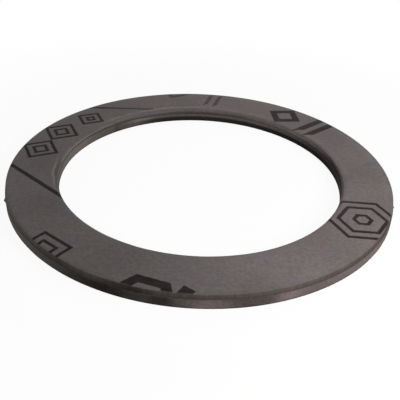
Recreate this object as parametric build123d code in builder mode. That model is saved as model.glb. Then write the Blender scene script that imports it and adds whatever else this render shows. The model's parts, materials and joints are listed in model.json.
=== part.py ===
from build123d import *
import os

# Flat ring gasket, cut with one stroke of a double knife from thick compressed fibre jointing sheet.
# Millimetres. +Z is up, and the origin is the middle of the face that the ring lies on.

# Driving dimensions of the ring
outside_diameter = 80.0
bore_diameter = 59.0
thickness = 3.0

# Driving dimensions of the cut, which the knife leaves alike at the rim and at the bore, but for
# the arris
roll_width = 1.1  # the face sinks towards the cut over this width
roll_depth = 0.08  # how far it has sunk where it meets the cut
rim_arris = 0.2  # rounding between the sunken face and the cut, at the rim
bore_arris = 0.5  # the same rounding at the bore, which is rubbed rounder
sheared_height = 0.92  # upper band of the cut, sheared clean by the knife
sheared_lean = 0.14  # how far the bevel of the knife pushed the top of that band back
tear_step = 0.07  # width of the ledge where the rest of the sheet tore through
tear_height = 0.1  # height of that ledge
lower_break = 0.15  # corner broken off at the seat, where the knife came out

# The ring's full size is on the land, the straight lower part of the cut
rim_radius = outside_diameter / 2
band_centre = (outside_diameter + bore_diameter) / 4
crown_height = thickness - roll_depth
ledge_height = crown_height - sheared_height
land_height = ledge_height - tear_height
ledge_radius = rim_radius - tear_step
crown_radius = ledge_radius - sheared_lean
bore_crown_radius = 2 * band_centre - crown_radius
roll_start = crown_radius - roll_width

os.makedirs("parts", exist_ok=True)

# The ring is one solid: a section through its band, turned about the axis
with BuildPart() as gasket_ring:
    with BuildSketch(Plane.XZ) as band_section:
        with BuildLine() as outline:
            # The cut at the rim, from the face down to the seat
            roll = TangentArc((roll_start, thickness), (crown_radius, crown_height), tangent=(1, 0))
            sheared_band = Line(roll @ 1, (ledge_radius, ledge_height))
            tear_ledge = Line(sheared_band @ 1, (rim_radius, land_height))
            land = Line(tear_ledge @ 1, (rim_radius, 0))
            # The same cut at the bore, facing the axis
            mirror(about=Plane.YZ.offset(band_centre))
            # The printed face above and the seat below join the two cuts
            face = Line(outline.vertices().group_by(Axis.Y)[-1])
            seat = Line(outline.vertices().group_by(Axis.Y)[0])
        make_face()
        # The arris sits just under the face, where the sheared band of each cut starts
        fillet(band_section.vertices().sort_by_distance((crown_radius, crown_height))[0], rim_arris)
        fillet(band_section.vertices().sort_by_distance((bore_crown_radius, crown_height))[0], bore_arris)
        chamfer(band_section.vertices().group_by(Axis.Y)[0], lower_break)
    revolve(axis=Axis.Z)

gasket_ring.part.label = "gasket_ring"
export_step(gasket_ring.part, "parts/gasket_ring.step")
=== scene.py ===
"""Flat ring gasket, dressed for a picture: the cut ring with its printed face, and a small studio.

The file is laid out as an add-on and run as a script. Lengths are in metres, as in the frame. The few
patterns that are easier to read in millimetres say so in their names.
"""

import json
import math

import bpy
import numpy as np
from mathutils import Euler, Matrix, Vector


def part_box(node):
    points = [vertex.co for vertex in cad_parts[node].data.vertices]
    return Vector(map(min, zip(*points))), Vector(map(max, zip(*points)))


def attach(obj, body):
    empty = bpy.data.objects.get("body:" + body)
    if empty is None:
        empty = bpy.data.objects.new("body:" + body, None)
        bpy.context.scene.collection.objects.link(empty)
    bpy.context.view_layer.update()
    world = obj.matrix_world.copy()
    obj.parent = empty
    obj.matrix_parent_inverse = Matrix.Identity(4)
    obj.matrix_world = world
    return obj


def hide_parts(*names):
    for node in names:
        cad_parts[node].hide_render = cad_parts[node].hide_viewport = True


bl_info = {
    "name": "Flat ring gasket",
    "version": (1, 0, 0),
    "blender": (4, 5, 0),
    "location": "3D View > Sidebar > Gasket",
    "description": "Makes the finished ring around its frame, and the studio that it is shown in",
    "category": "Object",
}

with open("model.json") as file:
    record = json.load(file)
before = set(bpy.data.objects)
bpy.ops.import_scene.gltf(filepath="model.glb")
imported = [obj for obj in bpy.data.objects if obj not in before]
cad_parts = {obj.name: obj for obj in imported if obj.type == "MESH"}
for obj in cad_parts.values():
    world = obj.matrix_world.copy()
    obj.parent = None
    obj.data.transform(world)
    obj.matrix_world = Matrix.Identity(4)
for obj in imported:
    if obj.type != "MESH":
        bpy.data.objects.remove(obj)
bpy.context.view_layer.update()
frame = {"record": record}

MM = 0.001
RING_NODE = "gasket_ring"
SHEET_SLOT = "jointing_sheet"
MOUNTS = {mount["name"]: mount for mount in frame["record"]["mounts"]}
RIM_RADIUS = MOUNTS["outside_diameter"]["dims"]["r_mm"] * MM
BORE_RADIUS = MOUNTS["bore"]["dims"]["r_mm"] * MM
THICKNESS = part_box(RING_NODE)[1].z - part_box(RING_NODE)[0].z
BAND_HALF_WIDTH = (RIM_RADIUS - BORE_RADIUS) / 2
MIDDLE_RADIUS_MM = (RIM_RADIUS + BORE_RADIUS) / 2 / MM


# ---------------------------------------------------------------------------------------------------
# Sizes and colours that a user would change
# ---------------------------------------------------------------------------------------------------


def length(name, description, default):
    """A property for a length in metres."""
    return bpy.props.FloatProperty(
        name=name,
        description=description,
        default=default,
        precision=5,
        unit="LENGTH",
        subtype="DISTANCE",
    )


def share(name, description, default):
    """A property for a plain number."""
    return bpy.props.FloatProperty(name=name, description=description, default=default)


def turn(name, description, degrees):
    """A property for an angle."""
    return bpy.props.FloatProperty(
        name=name,
        description=description,
        default=math.radians(degrees),
        unit="ROTATION",
        subtype="ANGLE",
    )


def colour(name, description, red, green, blue):
    """A property for a colour, given as it looks, from 0 to 255.

    The sRGB curve turns it linear: a straight start, then ((shown + 0.055) / 1.055) to the power 2.4.
    """
    shown = np.array((red, green, blue)) / 255
    linear = np.where(shown <= 0.04045, shown / 12.92, ((shown + 0.055) / 1.055) ** 2.4)
    return bpy.props.FloatVectorProperty(
        name=name,
        description=description,
        default=tuple(linear.tolist()),
        subtype="COLOR",
        min=0,
        max=1,
    )


class GasketCut(bpy.types.PropertyGroup):
    """The section that the knife leaves at the rim and at the bore."""

    roll_width: length("Roll width", "The face sinks towards the cut over this width", 1.1 * MM)
    roll_depth: length("Roll depth", "How far the face has sunk where it meets the cut", 0.08 * MM)
    rim_arris: length("Rim arris", "Rounding between the sunken face and the cut at the rim", 0.2 * MM)
    bore_arris: length("Bore arris", "The same rounding at the bore, rubbed rounder", 0.5 * MM)
    sheared_height: length("Sheared height", "Upper band of the cut, sheared clean", 0.92 * MM)
    sheared_lean: length("Sheared lean", "How far the top of that band leans back", 0.14 * MM)
    tear_step: length("Tear step", "Width of the ledge where the sheet tore through", 0.07 * MM)
    tear_height: length("Tear height", "Height of that ledge", 0.1 * MM)
    lower_break: length("Lower break", "Corner broken off at the seat", 0.15 * MM)


class GasketWear(bpy.types.PropertyGroup):
    """How far the cut surfaces stray from their true form."""

    score_depth: length("Score depth", "Depth of the scratches down the sheared band", 0.014 * MM)
    torn_depth: length("Torn depth", "Depth of the pits in the torn band", 0.06 * MM)
    ledge_wander: length("Ledge wander", "How far the ledge strays up and down", 0.13 * MM)
    roll_wander: share("Roll wander", "How much the width of the roll varies, as a share of it", 0.3)
    tag_height: length("Tag height", "How far a tag of torn fibre stands out of the rim", 0.35 * MM)


class GasketColours(bpy.types.PropertyGroup):
    """Colours of the sheet and its print."""

    face: colour("Face", "Calendered face of the sheet", 101, 93, 94)
    face_warm: colour("Face, warm patches", "Warmer patches in the face", 110, 101, 100)
    face_olive: colour("Face, olive drift", "Greener part of the sheet", 100, 95, 94)
    face_violet: colour("Face, violet patches", "Bluer patches in the face", 101, 94, 102)
    ink: colour("Ink", "Black print", 28, 20, 22)
    sheared: colour("Sheared band", "Clean upper band of the cut", 89, 81, 79)
    torn: colour("Torn band", "Fibrous lower band of the cut", 108, 98, 96)
    # Also the pale of the painted highlights on the bore's roll and arris, besides pale flecks in the
    # face
    rubbed: colour("Rubbed arris", "Where handling has polished the corner of the face", 130, 123, 121)
    # Painted shade: the dark laid in the ledge, along the seat and low in the bore
    cut_shade: colour("Grime", "Dirt in the ledge, along the seat and low in the bore", 40, 37, 37)


class GasketStudio(bpy.types.PropertyGroup):
    """The camera and the lights."""

    camera_distance: length("Camera distance", "From the camera to the middle of the ring", 136.3 * MM)
    camera_elevation: turn("Camera elevation", "Height of the camera above the floor", 31.04)
    camera_roll: turn("Camera roll", "Turn of the camera about its own line of sight", 2.75)
    focal_length: share("Focal length", "In millimetres, on a sensor 36 mm wide", 57.3)
    camera_rise: share("Camera rise", "Vertical shift of the lens, as a share of the frame", -0.048)
    sky: share("Sky", "Strength of the even light from all round", 0.09)
    bounce: share("Bounce", "How much light the floor throws back at the ring", 0.15)
    key: share("Key", "Power of the soft lamp at the right, in watts", 0.178)
    sheen: share("Sheen", "Power of the soft lamp behind, in watts", 0.21)
    fill: share("Fill", "Power of the soft lamp low at the left, in watts", 0.033)


# ---------------------------------------------------------------------------------------------------
# Surfaces
# ---------------------------------------------------------------------------------------------------

# Steps of the grid: round the ring, and along each stretch of the section
STEPS_ROUND = 1080
STEPS_FACE, STEPS_ROLL, STEPS_ARRIS, STEPS_SHEARED = 8, 6, 5, 8
STEPS_LEDGE, STEPS_TORN, STEPS_BREAK, STEPS_SEAT = 2, 9, 2, 4
# How far the roll stops short of the cut, as a share of the arris's radius
ROLL_GIVES_WAY = 0.8

# The start of the random numbers
SEED = 4
# Sizes of the marks on a cut: (round the ring, down the cut)
SCORES = (0.3 * MM, 4.0 * MM)
COARSE_PITS, FINE_PITS = (0.75 * MM, 0.5 * MM), (0.3 * MM, 0.24 * MM)
# Lengths of the roll's and the ledge's waves round the ring: (coarse, fine)
ROLL_WAVES = (5.0 * MM, 1.5 * MM)
LEDGE_WAVES = (2.6 * MM, 0.7 * MM)
# How far above and below the ledge its wander dies out
LEDGE_REACH = 0.9 * MM
# How gently the marks begin and end, down the cut
SOFT_EDGE, SHARP_EDGE = 0.2 * MM, 0.1 * MM


def straight(start, end, steps):
    """Points from start towards end, spaced evenly, without the end itself."""
    share_along = np.arange(steps)[:, None] / steps
    return np.array(start) + share_along * (np.array(end) - np.array(start))


def rounded(before, corner, after, radius, steps):
    """The arc that rounds a corner between two straight runs.

    It starts and ends radius x tan(half the turn) away from the corner. Its points lie on the circle
    that touches both runs there, spaced by equal angles.
    """
    before, corner, after = np.array(before), np.array(corner), np.array(after)
    inward = (before - corner) / np.linalg.norm(before - corner)
    onward = (after - corner) / np.linalg.norm(after - corner)
    half_opening = math.acos(float(np.dot(inward, onward))) / 2
    middle = (inward + onward) / np.linalg.norm(inward + onward)
    centre = corner + middle * radius / math.sin(half_opening)
    half_turn = math.pi / 2 - half_opening
    angles = np.linspace(-half_turn, half_turn, steps)[:, None]
    across = onward - middle * np.dot(onward, middle)
    across /= np.linalg.norm(across)
    return centre + radius * (across * np.sin(angles) - middle * np.cos(angles))


def cut_section(cut, arris_radius):
    """One cut, from the middle of the face down to the middle of the seat.

    Each row is (how far the point stands back from the land, its height). The face sinks on a circle
    whose radius is (width squared + depth squared) / (2 x depth), as far as the rounding of the arris.
    It also returns the row at which each stretch starts, which is alike for every arris.
    """
    crown = (cut.tear_step + cut.sheared_lean, THICKNESS - cut.roll_depth)
    ledge = (cut.tear_step, crown[1] - cut.sheared_height)
    land = (0.0, ledge[1] - cut.tear_height)
    roll_start = (crown[0] + cut.roll_width, THICKNESS)
    sink_radius = (cut.roll_width**2 + cut.roll_depth**2) / (2 * cut.roll_depth)
    reach = 1 - ROLL_GIVES_WAY * arris_radius / cut.roll_width
    sunk = math.asin(cut.roll_width / sink_radius) * np.linspace(0, reach, STEPS_ROLL + 1)[:-1]
    roll = np.stack(
        (roll_start[0] - sink_radius * np.sin(sunk), THICKNESS - sink_radius * (1 - np.cos(sunk))), 1
    )
    arris = rounded(roll[-1], crown, ledge, arris_radius, STEPS_ARRIS)
    stretches = {
        "face": straight((BAND_HALF_WIDTH, THICKNESS), roll_start, STEPS_FACE),
        "roll": roll,
        "arris": arris,
        "sheared": straight(arris[-1], ledge, STEPS_SHEARED + 1)[1:],
        "ledge": straight(ledge, land, STEPS_LEDGE),
        "torn": straight(land, (0.0, cut.lower_break), STEPS_TORN),
        "break": straight((0.0, cut.lower_break), (cut.lower_break, 0.0), STEPS_BREAK),
        "seat": straight((cut.lower_break, 0.0), (BAND_HALF_WIDTH, 0.0), STEPS_SEAT),
        "middle": np.array([(BAND_HALF_WIDTH, 0.0)]),
    }
    starts, count = {}, 0
    for name, rows in stretches.items():
        starts[name] = count
        count += len(rows)
    return np.concatenate(list(stretches.values())), starts


def distance_along(section):
    """Length of the section from its first row to each row."""
    steps = np.linalg.norm(np.diff(section, axis=0), axis=1)
    return np.concatenate(((0.0,), np.cumsum(steps)))


def eased(at):
    """The whole number below each place, and how far on from it the place is, as 3t^2 - 2t^3."""
    low = np.floor(at).astype(int)
    t = at - low
    return low, t * t * (3 - 2 * t)


def cells_round(cell):
    """How many cells of about this length go round the rim."""
    return max(8, round(2 * math.pi * RIM_RADIUS / cell))


def waver(rng, angles, cell):
    """Smooth random numbers from -1 to 1 round the ring, closed on itself.

    A random number stands every cell metres along the rim, and neighbours are joined by the curve
    3t^2 - 2t^3.
    """
    cells = cells_round(cell)
    knots = rng.uniform(-1, 1, cells)
    low, t = eased(angles / (2 * math.pi) * cells)
    return knots[low % cells] * (1 - t) + knots[(low + 1) % cells] * t


def grain(rng, angles, down, cell_round, cell_down):
    """Smooth random numbers from -1 to 1 over a cut, closed round the ring.

    As waver does, in two directions: a random number stands at each corner of a net of cells, and
    each point blends the four corners of its cell.
    """
    cells = cells_round(cell_round)
    rows = int(down.max() / cell_down) + 2
    knots = rng.uniform(-1, 1, (cells, rows))
    low, t = eased(angles / (2 * math.pi) * cells)
    low_down, s = eased(down / cell_down)
    t, s = t[:, None], s[None, :]
    first, second = knots[low % cells], knots[(low + 1) % cells]
    upper = first[:, low_down] * (1 - t) + second[:, low_down] * t
    lower = first[:, low_down + 1] * (1 - t) + second[:, low_down + 1] * t
    return upper * (1 - s) + lower * s


def coarse_and_fine(coarse, fine):
    """A coarse pattern with a weaker, finer one in it: 0.6 of the one and 0.4 of the other."""
    return 0.6 * coarse + 0.4 * fine


def stretch_weight(down, start, end, fade):
    """1 between start and end, and 0 beyond them, with straight flanks of the given fade."""
    return np.clip((down - start) / fade + 0.5, 0, 1) * np.clip((end - down) / fade + 0.5, 0, 1)


def worn_cut(rng, angles, section, down, starts, cut, wear, tags):
    """The section carried round the ring, with the marks of the knife and the tear on it.

    It returns two arrays over (angle, row): how far each point stands back from the land, and its
    height. The point moves back by scratches on the sheared band and pits on the torn band, the rows
    of the roll move in and out, and the rows about the ledge move up and down. A tag is a bump of the
    form exp(-distance squared) on the torn band. down is the nominal distance to each row.
    """
    place = {name: down[row] for name, row in starts.items()}
    back = np.repeat(section[None, :, 0], len(angles), 0)
    height = np.repeat(section[None, :, 1], len(angles), 0)

    sheared = stretch_weight(down, place["sheared"], place["ledge"], SOFT_EDGE)
    torn = stretch_weight(down, place["ledge"], place["seat"], SHARP_EDGE)
    scores = grain(rng, angles, down, *SCORES)
    pits = coarse_and_fine(*(grain(rng, angles, down, *cells) for cells in (COARSE_PITS, FINE_PITS)))
    back += wear.score_depth * sheared * np.abs(scores)
    back += wear.torn_depth * torn * np.abs(pits)

    rolling = stretch_weight(down, place["roll"], place["sheared"], SOFT_EDGE)
    reach = np.clip((back - cut.tear_step - cut.sheared_lean) / cut.roll_width, 0, 1)
    swing = coarse_and_fine(*(waver(rng, angles, wave) for wave in ROLL_WAVES))
    back += wear.roll_wander * cut.roll_width * swing[:, None] * rolling * reach

    at_ledge = np.clip(1 - np.abs(down - place["ledge"]) / LEDGE_REACH, 0, 1)
    wander = coarse_and_fine(*(waver(rng, angles, wave) for wave in LEDGE_WAVES))
    height += wear.ledge_wander * wander[:, None] * at_ledge

    for angle, drop, spread, reach_out in tags:
        off_round = (np.angle(np.exp(1j * (angles - angle))) * RIM_RADIUS / spread)[:, None]
        off_down = (height - (THICKNESS - drop)) / spread
        back -= reach_out * np.exp(-(off_round**2) - off_down**2) * torn
    return back, height


def closed_grid(name, points, down):
    """An object from a grid of points that closes on itself both ways; each cell is one quad.

    down is one number per point, kept with the mesh as "down_the_cut".
    """
    around, rows = points.shape[:2]
    index = np.arange(around * rows).reshape(around, rows)
    onward = np.roll(index, -1, axis=0)
    inward = np.roll(index, -1, axis=1)
    both = np.roll(onward, -1, axis=1)
    quads = np.stack((index, inward, both, onward), axis=-1).reshape(-1, 4)
    mesh = bpy.data.meshes.new(name)
    mesh.vertices.add(around * rows)
    mesh.vertices.foreach_set("co", points.astype(np.float32).ravel())
    mesh.loops.add(quads.size)
    mesh.loops.foreach_set("vertex_index", quads.astype(np.int32).ravel())
    mesh.polygons.add(len(quads))
    mesh.polygons.foreach_set("loop_start", np.arange(0, quads.size, 4, dtype=np.int32))
    mesh.update(calc_edges=True)
    mesh.shade_smooth()
    attribute = mesh.attributes.new("down_the_cut", "FLOAT", "POINT")
    attribute.data.foreach_set("value", down.astype(np.float32).ravel())
    if mesh.validate():
        raise RuntimeError(f"the mesh of {name} had faces that could not be kept")
    piece = bpy.data.objects.new(name, mesh)
    bpy.context.scene.collection.objects.link(piece)
    return piece


# ---------------------------------------------------------------------------------------------------
# Shader arithmetic
# ---------------------------------------------------------------------------------------------------


class Field:
    """A number that varies over a surface: a socket on which arithmetic can be written."""

    def __init__(self, finish, socket):
        self.finish = finish
        self.socket = socket

    def math(self, operation, *others):
        return self.finish.add("ShaderNodeMath", dict(operation=operation), (self, *others))

    def __add__(self, other):
        return self.math("ADD", other)

    def __radd__(self, other):
        return self.math("ADD", other)

    def __sub__(self, other):
        return self.math("SUBTRACT", other)

    def __rsub__(self, other):
        return self.finish.add("ShaderNodeMath", dict(operation="SUBTRACT"), (other, self))

    def __mul__(self, other):
        return self.math("MULTIPLY", other)

    def __rmul__(self, other):
        return self.math("MULTIPLY", other)

    def __truediv__(self, other):
        return self.math("DIVIDE", other)

    def __abs__(self):
        return self.math("ABSOLUTE")

    def least(self, other):
        """The smaller of the two."""
        return self.math("MINIMUM", other)

    def most(self, other):
        """The greater of the two."""
        return self.math("MAXIMUM", other)

    def between(self, low, high):
        """0 below low, 1 above high and a smooth step between them; low may be the higher one."""
        settings = dict(interpolation_type="SMOOTHSTEP", clamp=True)
        values = {"Value": self, "From Min": min(low, high), "From Max": max(low, high)}
        step = self.finish.add("ShaderNodeMapRange", settings, values)
        return step if low < high else 1 - step


WHITE, BLACK = (1.0, 1.0, 1.0, 1.0), (0.0, 0.0, 0.0, 1.0)
# The rays that carry what the eye sees
RAYS_SEEN = ("Is Camera Ray", "Is Glossy Ray", "Is Transmission Ray")


class Finish:
    """The nodes of one material, or of the world."""

    def __init__(self, name, kind=bpy.data.materials):
        self.block = kind.new(name)
        self.block.use_nodes = True
        self.tree = self.block.node_tree
        self.tree.nodes.clear()

    def add(self, kind, settings=None, values=None, output=0):
        """Adds a node, sets its settings, then its sockets, and returns one of its outputs."""
        node = self.tree.nodes.new(kind)
        for name, value in (settings or {}).items():
            setattr(node, name, value)
        pairs = values.items() if isinstance(values, dict) else enumerate(values or ())
        for name, value in pairs:
            if isinstance(value, Field):
                self.tree.links.new(value.socket, node.inputs[name])
            else:
                node.inputs[name].default_value = value
        return Field(self, node.outputs[output]) if node.outputs else None

    def vector(self, operation, *vectors, scale=None):
        """Vector arithmetic; lengths and dot products come back as numbers."""
        values = dict(enumerate(vectors))
        if scale is not None:
            values["Scale"] = scale
        output = 1 if operation in ("LENGTH", "DOT_PRODUCT") else 0
        return self.add("ShaderNodeVectorMath", dict(operation=operation), values, output)

    def distance(self, place, point):
        """How far a place is from a point."""
        return self.vector("LENGTH", self.vector("SUBTRACT", place, point))

    def mix(self, factor, first, second):
        """Colours blended: first at 0, second at 1."""
        settings = dict(data_type="RGBA", clamp_factor=True)
        return self.add("ShaderNodeMix", settings, {0: factor, 6: first, 7: second}, 2)

    def noise(self, place, pattern, output=0):
        """A noise from 0 to 1; its pattern is (cells in a unit of length, detail, roughness)."""
        values = {"Vector": place, **dict(zip(("Scale", "Detail", "Roughness"), pattern))}
        return self.add("ShaderNodeTexNoise", None, values, output)

    def drift(self, place, pattern):
        """A vector of three noises, each from -0.5 to 0.5."""
        return self.vector("SUBTRACT", self.noise(place, pattern, output=1), (0.5, 0.5, 0.5))

    def place_mm(self):
        """Where the point is on the object, in millimetres."""
        place = self.add("ShaderNodeTexCoord", output=3)
        return self.vector("SCALE", place, scale=1 / MM)

    def attribute_mm(self, name):
        """A number kept with the mesh, turned from metres to millimetres."""
        value = self.add("ShaderNodeAttribute", dict(attribute_name=name), output=2)
        return value * (1 / MM)

    def bump(self, height_mm):
        """The normal over a relief whose height is in millimetres."""
        return self.add("ShaderNodeBump", None, {"Height": height_mm, "Distance": MM, "Strength": 1.0})

    def seen(self):
        """1 for what the eye sees, straight or in a mirror or through glass, and 0 for other light."""
        straight, mirrored, through = (
            self.add("ShaderNodeLightPath", output=name) for name in RAYS_SEEN
        )
        return straight.most(mirrored).most(through)

    def close(self, shader):
        """Joins the shader to the material's output and returns the material."""
        self.add("ShaderNodeOutputMaterial", None, {"Surface": shader})
        return self.block


def rgba(colour_property, share=1.0):
    """A colour property, or a darker share of it, as the four numbers that a colour socket takes."""
    return (*(share * value for value in colour_property), 1.0)


# ---------------------------------------------------------------------------------------------------
# Print
# ---------------------------------------------------------------------------------------------------

# Every mark is a shape whose opposite sides are parallel: a list of (direction of a pair of sides'
# normal in degrees from the mark's own turn, half the distance between them in millimetres).


def rule(long, wide):
    """A straight printed line."""
    return ((0, long / 2), (90, wide / 2))


def slanted_bar(long, wide):
    """A bar whose ends lean."""
    return ((55, long / 2), (90, wide / 2))


def rhombus(size):
    """A square standing on its corner."""
    return ((45, size / 2), (135, size / 2))


def hexagon(size):
    """A hexagon with two sides across its direction."""
    return ((0, size / 2), (60, size / 2), (120, size / 2))


def beside(point, angle, distance):
    """The place a distance away from a point, in millimetres."""
    along = math.radians(angle)
    return (point[0] + distance * math.cos(along), point[1] + distance * math.sin(along))


def nested(point, angle, shape, stroke, *sizes):
    """Outlines of one shape inside each other."""
    return [(point, angle, shape(size), stroke) for size in sizes]


def bars(point, angle, long, wide, gap, count):
    """A row of slanted bars, each gap millimetres on from the last."""
    bar = slanted_bar(long, wide)
    return [(beside(point, angle, gap * step), angle + 90, bar, None) for step in range(count)]


# (middle in millimetres on the face, turn in degrees, shape, stroke in millimetres or None if solid)
MARKS = [
    ((-32.6, -8.1), -41, rule(21.0, 0.95), None),
    ((-20.8, 28.25), 3, rule(16.4, 0.85), None),
    *nested((-35.2, 5.4), -20, rhombus, 0.7, 6.4, 3.2),
    *nested((-32.4, 14.0), -20, rhombus, 0.7, 6.4, 3.2),
    *nested((-27.0, 21.6), -20, rhombus, 0.7, 5.2, 2.2),
    *nested((-7.4, 40.2), -14, rhombus, 1.2, 6.2),
    *bars((1.2, 36.0), -14, 3.6, 1.0, 2.3, 2),
    *nested((20.3, 28.3), -38, rhombus, 1.6, 6.4),
    *bars((26.6, 24.2), -48, 6.0, 1.7, 3.1, 2),
    *nested((31.2, -16.4), -33, hexagon, 0.75, 12.6, 8.8, 3.6),
    *nested((-26.4, -30.0), 8, rhombus, 0.65, 7.4, 4.0),
    *nested((-8.4, -41.4), 12, hexagon, 1.8, 10.4, 4.6),
    ((-1.4, -39.4), 12, rhombus(2.3), None),
]


def distance_to_print(finish, place):
    """How far the point lies outside the nearest mark, in millimetres, and below 0 inside one.

    For each pair of sides the distance is |offset . normal| - half the gap. A shape is the greatest
    of its pairs, a stroke is |distance + half a stroke| - half a stroke, and the print is the least of
    its marks.
    """
    nearest = None
    for (x, y), angle, shape, stroke in MARKS:
        offset = finish.vector("SUBTRACT", place, (x, y, 0.0))
        outside = None
        for side, half in shape:
            along = math.radians(angle + side)
            normal = (math.cos(along), math.sin(along), 0.0)
            beyond = abs(finish.vector("DOT_PRODUCT", offset, normal)) - half
            outside = beyond if outside is None else outside.most(beyond)
        if stroke is not None:
            outside = abs(outside + stroke / 2) - stroke / 2
        nearest = outside if nearest is None else nearest.least(outside)
    return nearest


# ---------------------------------------------------------------------------------------------------
# Finishes
# ---------------------------------------------------------------------------------------------------

# Noises of the sheet: (cells in a millimetre, detail, roughness)
WARM_PATCHES = (0.09, 3.0, 0.55)
OLIVE_PATCHES = (0.16, 2.0, 0.6)
VIOLET_PATCHES = (0.2, 2.0, 0.6)
SWIRL = (0.25, 2.0, 0.5)
MOTTLE = (0.6, 2.0, 0.6)
CLOUD = (1.3, 4.0, 0.7)
LONG_FIBRES = (3.2, 3.0, 0.6)
CROSS_FIBRES = (2.4, 3.0, 0.6)
SPECKS = (4.2, 1.0, 0.4)
DIMPLES = (0.7, 2.0, 0.5)
FRAY = (1.8, 3.0, 0.6)
THIN_INK = (0.35, 2.0, 0.6)
INK_GAPS = (5.5, 2.0, 0.6)
SWELL = (0.11, 1.0, 0.5)
WISPS = (0.42, 4.0, 0.62)
LUMPS = (0.3, 6.0, 0.75)
STREAKS = (1.9, 3.0, 0.6)
TUFTS = (2.2, 4.0, 0.7)

# How far off the olive and the violet patches are read, so that they don't fall where the warm ones do
OLIVE_SHIFT, VIOLET_SHIFT = (31.0, 7.0, 0.0), (-17.0, 43.0, 0.0)
# How much greener the face gets in a millimetre to the right, to the back and upwards
OLIVE_SLOPE = (-0.018, -0.016, 0.0)
# What the left of the rim's cut and most of the bore's is multiplied by
OLIVE_TINT = (0.955, 1.045, 1.0, 1.0)
# How far the swirl moves the tone patches about, in millimetres
STIRRING = (8.0, 8.0, 0.0)
UPWARDS = (0.0, 0.0, 1.0)
# What a place is multiplied by to drop its height
NO_HEIGHT = (1.0, 1.0, 0.0)
# What it is multiplied by to draw a noise out along y or x, or down the cut, or to press it flat
ALONG_Y, ALONG_X = (1.0, 0.22, 1.0), (0.3, 1.0, 1.0)
LONG_DOWN, TALLER, PRESSED = (1.0, 1.0, 0.1), (1.0, 1.0, 0.5), (1.0, 1.0, 1.6)
# Where the print is worn thin: (middle, radius with no wear, radius of full wear), in millimetres
WORN_PRINT = ((-8.0, 36.0, 0.0), 24.0, 8.0)
# The ink has dried duller than the sheet
SHEET_GLOSS, INK_GLOSS = 0.08, 0.03

# Where the tone of the face strays: partly the sheet's own tone, partly painted light and shade.
# (middle in millimetres, radius in millimetres, change as a share)
FACE_TONE_AND_LIGHT_PATCHES = (
    ((-33.0, 0.0), 9.0, -0.15),
    ((-28.0, -16.0), 10.0, -0.15),
    ((-14.0, -32.0), 13.0, -0.16),
    ((11.0, -30.0), 16.0, 0.2),
    ((21.5, -33.5), 6.0, 0.2),
    ((10.5, -38.5), 6.0, -0.16),
    ((34.5, 1.0), 10.0, -0.1),
    ((29.8, -1.5), 4.5, -0.16),
    ((4.0, 33.5), 12.0, 0.13),
)
# The same on the cut, also partly painted light and shade: (middle, radius, change in the sheared band,
# change in the torn band)
CUT_TONE_AND_LIGHT_PATCHES = (
    ((24.0, 17.0), 17.0, 1.2, 0.2),
    ((29.5, 3.0), 12.0, -0.55, -0.55),
    ((27.0, 13.0), 8.0, 0.0, -0.4),
    ((15.0, 25.5), 7.0, 0.2, 0.15),
    ((0.0, 29.5), 15.0, -0.3, -0.1),
    ((-15.0, 25.5), 5.0, 0.0, 0.6),
    ((-20.3, 21.3), 4.0, 0.0, -0.5),
    ((-28.5, 8.0), 12.0, 0.5, 0.45),
    ((-29.0, -27.5), 15.0, 0.4, 0.25),
    ((-18.5, -35.5), 7.0, 0.8, -0.3),
    ((-14.0, -37.5), 6.0, 0.0, -0.6),
    ((-10.0, -38.7), 5.0, -0.35, -0.05),
    ((-5.0, -39.7), 5.0, 0.2, -0.55),
    ((1.5, -40.0), 6.0, 0.15, 0.85),
    ((9.5, -39.0), 6.0, 0.0, -0.3),
    ((15.5, -37.0), 5.0, 0.1, 0.5),
    ((30.0, -26.5), 17.0, -0.27, 0.0),
    ((36.0, -18.5), 7.0, -0.45, -0.2),
)


def stray(finish, place, patches):
    """1, plus the change of each patch; a patch fades smoothly from its middle out to its radius."""
    tone = 1.0
    for (x, y), radius, change in patches:
        away = finish.distance(place, (x, y, 0.0))
        tone = away.between(radius, 0.0) * change + tone
    return tone


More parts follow.
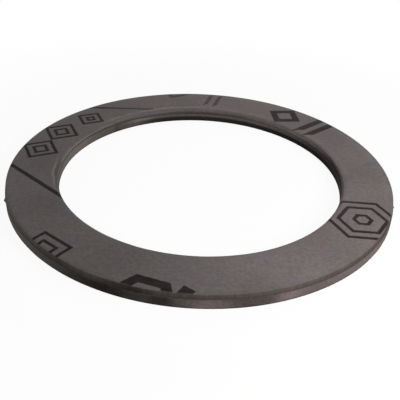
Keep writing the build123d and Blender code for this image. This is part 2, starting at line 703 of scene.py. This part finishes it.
class SheetFinish(Finish):
    """Calendered fibre sheet: a mottled face, black print, and cuts with a sheared and a torn band.

    Lengths are in millimetres. down is how far the point lies from the middle of the face, along the
    section, and at[stretch] is where a stretch of the section starts on that way.
    """

    def __init__(self, colours, place_on_cut):
        super().__init__(SHEET_SLOT)
        self.colours = colours
        self.at = {name: value / MM for name, value in place_on_cut.items()}
        self.down = self.attribute_mm("down_the_cut")
        self.place = self.place_mm()
        self.x, self.y = (
            self.add("ShaderNodeSeparateXYZ", None, (self.place,), axis) for axis in (0, 1)
        )
        self.on_plan = self.vector("MULTIPLY", self.place, NO_HEIGHT)
        stirring = self.vector("MULTIPLY", self.drift(self.place, SWIRL), STIRRING)
        self.stirred = self.vector("ADD", self.on_plan, stirring)

        # Which cut the point is nearer to: 0 at the rim, 1 at the bore
        from_axis = self.vector("LENGTH", self.on_plan)
        self.at_bore = from_axis.between(MIDDLE_RADIUS_MM + 0.5, MIDDLE_RADIUS_MM - 0.5)
        # A place that takes the band as if it were bent flat, for marks that run round the ring
        across = (from_axis - self.vector("DOT_PRODUCT", self.place, UPWARDS)) * 5.0
        outwards = self.vector("NORMALIZE", self.on_plan)
        self.unrolled = self.vector(
            "ADD",
            self.vector("SCALE", outwards, scale=MIDDLE_RADIUS_MM),
            self.vector("SCALE", UPWARDS, scale=across),
        )
        self.lumps = self.noise(self.vector("MULTIPLY", self.unrolled, TALLER), LUMPS)

        # The cut, from just under the arris to the seat, and the torn band low on it
        past_arris = self.down + (1 - self.at_bore) * 0.15
        below_arris = past_arris.between(self.at["arris"] + 0.05, self.at["arris"] + 0.45)
        above_seat = self.down.between(self.at["seat"] + 0.1, self.at["seat"] - 0.05)
        self.on_cut = below_arris * above_seat
        self.torn = self.down.between(self.at["ledge"] - 0.08, self.at["torn"] + 0.08)

        # Short fibres lying both ways in the sheet, streaks down the cut, and tufts where it tore
        long_fibres = self.noise(self.vector("MULTIPLY", self.place, ALONG_Y), LONG_FIBRES)
        cross_fibres = self.noise(self.vector("MULTIPLY", self.place, ALONG_X), CROSS_FIBRES)
        self.fibres = long_fibres * 0.5 + cross_fibres * 0.5
        self.streaks = self.noise(self.vector("MULTIPLY", self.place, LONG_DOWN), STREAKS)
        self.tufts = self.noise(self.vector("MULTIPLY", self.place, PRESSED), TUFTS)

    def stripe(self, middle, half_width):
        """1 along a line at a distance down the cut, falling to 0 half a width on either side."""
        return 1 - (abs(self.down - middle) / half_width).least(1.0)

    def face(self):
        """The colour of the face: broad patches of three tints, with a mottle and clouds over them."""
        colours, place = self.colours, self.place
        warm = self.noise(place, WARM_PATCHES)
        olive = self.noise(self.vector("ADD", place, OLIVE_SHIFT), OLIVE_PATCHES)
        violet = self.noise(self.vector("ADD", place, VIOLET_SHIFT), VIOLET_PATCHES)
        face = self.mix(warm.between(0.35, 0.65) * 0.8, rgba(colours.face), rgba(colours.face_warm))
        olive = self.vector("DOT_PRODUCT", place, OLIVE_SLOPE) + olive * 0.7
        face = self.mix(olive.between(0.1, 0.8), face, rgba(colours.face_olive))
        face = self.mix(violet.between(0.52, 0.7) * 0.6, face, rgba(colours.face_violet))
        # Patches of the sheet's own tone, and of painted light and shade
        face = self.vector("SCALE", face, scale=stray(self, self.stirred, FACE_TONE_AND_LIGHT_PATCHES))
        mottle = self.vector("SCALE", self.drift(place, MOTTLE), scale=0.2)
        face = self.vector("MULTIPLY", face, self.vector("ADD", mottle, (1.0, 1.0, 1.0)))
        return self.mix(self.noise(place, CLOUD).between(0.68, 0.34) * 0.22, face, BLACK)

    def ink(self):
        """How much of the print is there, frayed at its edges and eaten by the fibres under it."""
        fray = self.vector("SCALE", self.drift(self.place, FRAY), scale=0.24)
        frayed_place = self.vector("MULTIPLY", self.vector("ADD", self.place, fray), NO_HEIGHT)
        coverage = distance_to_print(self, frayed_place).between(0.09, -0.09)
        middle, no_wear, full_wear = WORN_PRINT
        worn = self.distance(self.place, middle).between(no_wear, full_wear)
        thin = self.noise(self.place, THIN_INK).between(0.3, 0.7) * 0.08 + worn * 0.35
        gaps = self.noise(self.place, INK_GAPS).between(0.6, 0.74) * 0.2
        above_cut = self.down.between(self.at["sheared"] + 0.05, self.at["sheared"] - 0.1)
        return coverage * (1 - gaps) * (1 - thin) * above_cut

    def cut(self, face):
        """The colour of the cut: a streaked band, a fibrous one, and painted shade in the ledge, along
        the seat and low in the bore.
        """
        at, down, at_bore, torn = self.at, self.down, self.at_bore, self.torn
        dark, light = rgba(self.colours.sheared, 0.8), rgba(self.colours.sheared)
        sheared = self.mix(self.streaks.between(0.35, 0.65), dark, light)
        fading = down.between(at["ledge"] - 0.1, at["ledge"] - 0.6) * at_bore
        sheared = self.mix(fading, sheared, face)
        dark, light = rgba(self.colours.torn, 0.72), rgba(self.colours.torn)
        cut = self.mix(torn, sheared, self.mix(self.tufts.between(0.3, 0.64), dark, light))

        # Patches of the cut's own tone, and of painted light and shade
        patches = []
        for spot, radius, above, below in CUT_TONE_AND_LIGHT_PATCHES:
            own_cut = at_bore if math.hypot(*spot) < MIDDLE_RADIUS_MM else 1 - at_bore
            patches.append((spot, radius, (torn * (below - above) + above) * own_cut))
        cut = self.vector("SCALE", cut, scale=stray(self, self.stirred, patches))
        leftwards = self.x.between(14.0, -10.0).most(at_bore * 0.7)
        cut = self.vector("MULTIPLY", cut, self.mix(leftwards, WHITE, OLIVE_TINT))

        # Painted shade: a dark line along the ledge, where the cut steps in
        ledge_shade = self.stripe(at["ledge"], 0.34) * (0.2 + self.noise(self.unrolled, WISPS) * 0.6)
        # Painted shade low in the bore, heavier towards its right, the side turned from the key lamp
        bore_shade = down.between(at["torn"] + 0.35, at["torn"] + 1.0) * at_bore
        from_left = (self.noise(self.place, SWELL) * 6.0 + self.x).between(-22.0, -5.0)
        # Painted shade along the seat, where the cut meets the floor
        seat_shade = down.between(at["break"] - 0.3, at["break"] + 0.05) * 0.85
        cut_shade = rgba(self.colours.cut_shade)
        cut = self.mix(ledge_shade, cut, cut_shade)
        return self.mix((bore_shade * from_left).most(seat_shade), cut, cut_shade)

    def dress(self):
        """The whole surface.

        On the roll a painted highlight runs round the back of the bore, and below it painted shade
        darkens the face as it sinks. At the bore's left a painted highlight and a painted dark line run
        beside the arris, and a painted highlight lies on the arris itself in places.
        """
        at, x, y, at_bore = self.at, self.x, self.y, self.at_bore
        # dark serves both the fibres' grain and the painted shade where the roll sinks
        pale, dark = rgba(self.colours.rubbed), rgba(self.colours.face, 0.72)
        face, ink = self.face(), self.ink()

        # Painted highlight: a pale band on the roll round the back of the bore, where light glances off
        # it
        ridge = self.stripe(x.between(-8.0, -18.0) * 0.3 + (at["roll"] - 0.25), 0.75)
        behind = at_bore * y.between(-12.0, 4.0)
        highlight_reach = behind * x.between(18.0, -8.0) * x.between(-26.0, -20.0)
        lipped = at_bore * x.between(-25.0, -28.5) * y.between(-12.0, -8.0) * y.between(3.0, -2.0)
        # Painted highlight: a pale line beside the arris at the bore's left
        lip_highlight = self.stripe(at["roll"] + 0.45, 0.4) * lipped
        # Painted shade: a dark line along the arris at the bore's left, as if in a groove that the mesh
        # doesn't have
        groove_shade = self.stripe(at["arris"] + 0.14, 0.36) * lipped
        at_left = x.between(-16.0, -26.0)
        # Painted highlight along the arris, strongest at the bore's left
        arris = self.stripe(at_left * 0.4 + (at["arris"] + 0.1), 0.35)
        arris = arris * (at_bore * (at_left * 0.7 + 0.1) + 0.12)

        base = self.mix(self.noise(self.place, SPECKS).between(0.66, 0.78) * 0.2, face, pale)
        # Painted highlights: the band at the back of the bore, and the line beside the arris at its
        # left
        base = self.mix(ridge * highlight_reach * self.lumps.between(0.35, 0.62) * 0.95, base, pale)
        base = self.mix(lip_highlight * 0.85, base, pale)
        base = self.mix(self.fibres.between(0.5, 0.3) * 0.55, base, dark)
        # Painted shade: the face darkens as the roll sinks towards the cut, most at the bore's right
        # and least at its left, and the band on the roll darkens round the front of the bore
        depth = at_bore * (0.2 - x.between(-4.0, -18.0) * 0.4) + 0.45
        sinking_shade = self.down.between(at["roll"] + 0.3, at["sheared"]) * depth
        base = self.mix(sinking_shade.most(ridge * (at_bore - behind) * 0.3), base, dark)
        base = self.mix(ink, base, rgba(self.colours.ink))
        base = self.mix(self.on_cut, base, self.cut(face))
        # Painted highlight along the arris, broken by the lumps
        base = self.mix(arris * (self.lumps.between(0.62, 0.4) * 0.7 + 0.3), base, pale)
        # Painted shade of that dark line beside the arris
        base = self.mix(groove_shade * 0.9, base, rgba(self.colours.face, 0.35))

        roughness = 0.5 + self.fibres * 0.12 - ink * 0.06 - ridge * 0.08 + self.on_cut * 0.3
        on_face = self.fibres * 0.02 + self.noise(self.place, DIMPLES) * 0.03 + ink * 0.004
        in_cut = self.tufts * 0.09 * self.torn + self.streaks * 0.03 * (1 - self.torn)
        relief = on_face * (1 - self.on_cut) + in_cut * self.on_cut
        surface = {"Base Color": base, "Roughness": roughness, "Normal": self.bump(relief)}
        sheet, print_ink = (
            self.add("ShaderNodeBsdfPrincipled", None, {**surface, "Specular IOR Level": gloss})
            for gloss in (SHEET_GLOSS, INK_GLOSS)
        )
        return self.close(self.add("ShaderNodeMixShader", None, (ink, sheet, print_ink)))


# Share of white in what the eye sees of the floor: under the ring, and what is added far from it
LIFT_NEAR, LIFT_ADDED = 0.93, 0.07
# Where the floor starts to whiten and where it is white, in millimetres from the ring's middle
WHITENING = (50.0, 110.0)
FLOOR_SEEN = (0.9, 0.9, 0.9, 1.0)


def floor_finish(bounce):
    """A pale board that keeps the ring's shadow.

    The eye and mirrors see it lifted towards white, and quite white away from the ring. It throws back
    only a little light, so the ring's own walls stay as dark as on a bench.
    """
    finish = Finish("floor_board")
    seen = finish.seen()
    away = finish.vector("LENGTH", finish.place_mm())
    lifted = away.between(*WHITENING) * LIFT_ADDED + LIFT_NEAR
    tint = finish.mix(seen, (bounce, bounce, bounce, 1.0), FLOOR_SEEN)
    board = finish.add("ShaderNodeBsdfDiffuse", None, {"Color": tint})
    white = finish.add("ShaderNodeEmission", None, {"Color": WHITE, "Strength": 1.0})
    return finish.close(finish.add("ShaderNodeMixShader", None, (seen * lifted, board, white)))


def even_light(strength):
    """A world that lights the ring evenly, and that the eye and mirrors see as white."""
    finish = Finish("even_light", bpy.data.worlds)
    level = finish.seen() * (1 - strength) + strength
    light = finish.add("ShaderNodeBackground", None, {"Color": WHITE, "Strength": level})
    finish.add("ShaderNodeOutputWorld", None, {"Surface": light})
    return finish.block


# ---------------------------------------------------------------------------------------------------
# Operators
# ---------------------------------------------------------------------------------------------------

# Tags of torn fibre on the rim: (degrees round the ring, millimetres below the face, spread in
# millimetres)
RIM_TAGS = ((-161.6, 2.0, 0.35), (-12.0, 2.1, 0.3))

FLOOR_HALF_WIDTH = 1.5
# Just under the seat, so that the two don't meet in one plane
FLOOR_LEVEL = -0.02 * MM
# Lamps: (name, the studio's name for its power, size, place, target, tint), lengths in metres
LAMPS = (
    ("key_lamp", "key", 0.07, (0.088, -0.072, 0.068), (0, 0, 0), (1.0, 0.975, 0.955)),
    ("sheen_lamp", "sheen", 0.16, (0.06, 0.20, 0.18), (0.01, 0.01, 0), (1.0, 0.985, 0.985)),
    ("fill_lamp", "fill", 0.06, (-0.12, -0.02, 0.03), (0, 0, 0), (1.0, 1.0, 1.0)),
)
SENSOR_WIDTH_MM = 36.0
CLIP_START = 0.005


class GASKET_OT_ring(bpy.types.Operator):
    """Makes the finished ring, with its rolled, sheared and torn cuts, in place of the plain one."""

    bl_idname = "gasket.ring"
    bl_label = "Make the ring"

    def execute(self, context):
        scene = context.scene
        cut, wear, colours = scene.gasket_cut, scene.gasket_wear, scene.gasket_colours
        rng = np.random.default_rng(SEED)
        angles = np.arange(STEPS_ROUND) * 2 * math.pi / STEPS_ROUND
        rim_section, starts = cut_section(cut, cut.rim_arris)
        bore_section, _ = cut_section(cut, cut.bore_arris)
        down = distance_along(rim_section)
        tags = [
            (math.radians(angle), drop * MM, spread * MM, wear.tag_height)
            for angle, drop, spread in RIM_TAGS
        ]
        rim_back, rim_height = worn_cut(rng, angles, rim_section, down, starts, cut, wear, tags)
        bore_back, bore_height = worn_cut(rng, angles, bore_section, down, starts, cut, wear, ())
        # Down the rim and up the bore; the two cuts share the middle lines of the face and the seat
        up = slice(-2, 0, -1)
        radius = np.concatenate((RIM_RADIUS - rim_back, (BORE_RADIUS + bore_back)[:, up]), axis=1)
        height = np.concatenate((rim_height, bore_height[:, up]), axis=1)
        x, y = radius * np.cos(angles)[:, None], radius * np.sin(angles)[:, None]
        both = np.concatenate((down, down[up]))
        ring = closed_grid(
            "ring_of_sheet",
            np.stack((x, y, height), axis=-1),
            np.repeat(both[None, :], len(angles), 0),
        )
        place_on_cut = {name: down[row] for name, row in starts.items()}
        ring.data.materials.append(SheetFinish(colours, place_on_cut).dress())
        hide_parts(RING_NODE)
        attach(ring, "root")
        return {"FINISHED"}


def soft_lamp(name, power, size, place, target, tint):
    """A square lamp at a place, facing a target."""
    lamp = bpy.data.lights.new(name, "AREA")
    lamp.energy = power
    lamp.size = size
    lamp.color = tint
    holder = bpy.data.objects.new(name, lamp)
    holder.location = place
    holder.rotation_euler = (Vector(target) - Vector(place)).to_track_quat("-Z", "Y").to_euler()
    holder.visible_camera = False
    bpy.context.scene.collection.objects.link(holder)


def make_floor(bounce):
    """A wide square floor under the ring."""
    half, level = FLOOR_HALF_WIDTH, FLOOR_LEVEL
    corners = [(-half, -half, level), (half, -half, level), (half, half, level), (-half, half, level)]
    mesh = bpy.data.meshes.new("floor")
    mesh.from_pydata(corners, [], [(0, 1, 2, 3)])
    mesh.materials.append(floor_finish(bounce))
    floor = bpy.data.objects.new("floor", mesh)
    bpy.context.scene.collection.objects.link(floor)


def make_camera(studio):
    """A camera in front of the ring, looking down at its middle, with its lens shifted."""
    camera = bpy.data.objects.new("camera", bpy.data.cameras.new("camera"))
    camera.data.sensor_width = SENSOR_WIDTH_MM
    camera.data.lens = studio.focal_length
    camera.data.shift_y = studio.camera_rise
    camera.data.clip_start = CLIP_START
    elevation = studio.camera_elevation
    camera.location = studio.camera_distance * Vector((0, -math.cos(elevation), math.sin(elevation)))
    facing = Euler((math.pi / 2 - elevation, 0, 0)).to_matrix()
    camera.rotation_euler = (facing @ Matrix.Rotation(studio.camera_roll, 3, "Z")).to_euler()
    bpy.context.scene.collection.objects.link(camera)
    bpy.context.scene.camera = camera


class GASKET_OT_studio(bpy.types.Operator):
    """Makes the floor, the lamps, the even light and the camera."""

    bl_idname = "gasket.studio"
    bl_label = "Make the studio"

    def execute(self, context):
        studio = context.scene.gasket_studio
        make_floor(studio.bounce)
        for name, power, size, place, target, tint in LAMPS:
            soft_lamp(name, getattr(studio, power), size, place, target, tint)
        context.scene.world = even_light(studio.sky)
        context.scene.view_settings.view_transform = "Standard"
        make_camera(studio)
        return {"FINISHED"}


class GASKET_PT_panel(bpy.types.Panel):
    """Lists the sizes, the wear, the colours and the studio's settings, with a button for each operator
    that makes the pieces.
    """

    bl_idname = "GASKET_PT_panel"
    bl_label = "Flat ring gasket"
    bl_space_type = "VIEW_3D"
    bl_region_type = "UI"
    bl_category = "Gasket"

    def draw(self, context):
        for name in PROPERTY_GROUPS:
            group = getattr(context.scene, name)
            box = self.layout.box()
            for key in group.bl_rna.properties.keys():
                if key not in ("rna_type", "name"):
                    box.prop(group, key)
        for operator in OPERATORS:
            self.layout.operator(operator.bl_idname)


PROPERTY_GROUPS = {
    "gasket_cut": GasketCut,
    "gasket_wear": GasketWear,
    "gasket_colours": GasketColours,
    "gasket_studio": GasketStudio,
}
OPERATORS = (GASKET_OT_ring, GASKET_OT_studio)


def register():
    for name, group in PROPERTY_GROUPS.items():
        bpy.utils.register_class(group)
        setattr(bpy.types.Scene, name, bpy.props.PointerProperty(type=group))
    for cls in (*OPERATORS, GASKET_PT_panel):
        bpy.utils.register_class(cls)


def unregister():
    for cls in (GASKET_PT_panel, *reversed(OPERATORS)):
        bpy.utils.unregister_class(cls)
    for name, group in reversed(PROPERTY_GROUPS.items()):
        delattr(bpy.types.Scene, name)
        bpy.utils.unregister_class(group)


def main():
    """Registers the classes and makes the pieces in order."""
    register()
    bpy.ops.gasket.ring()
    bpy.ops.gasket.studio()


if __name__ == "__main__":
    main()
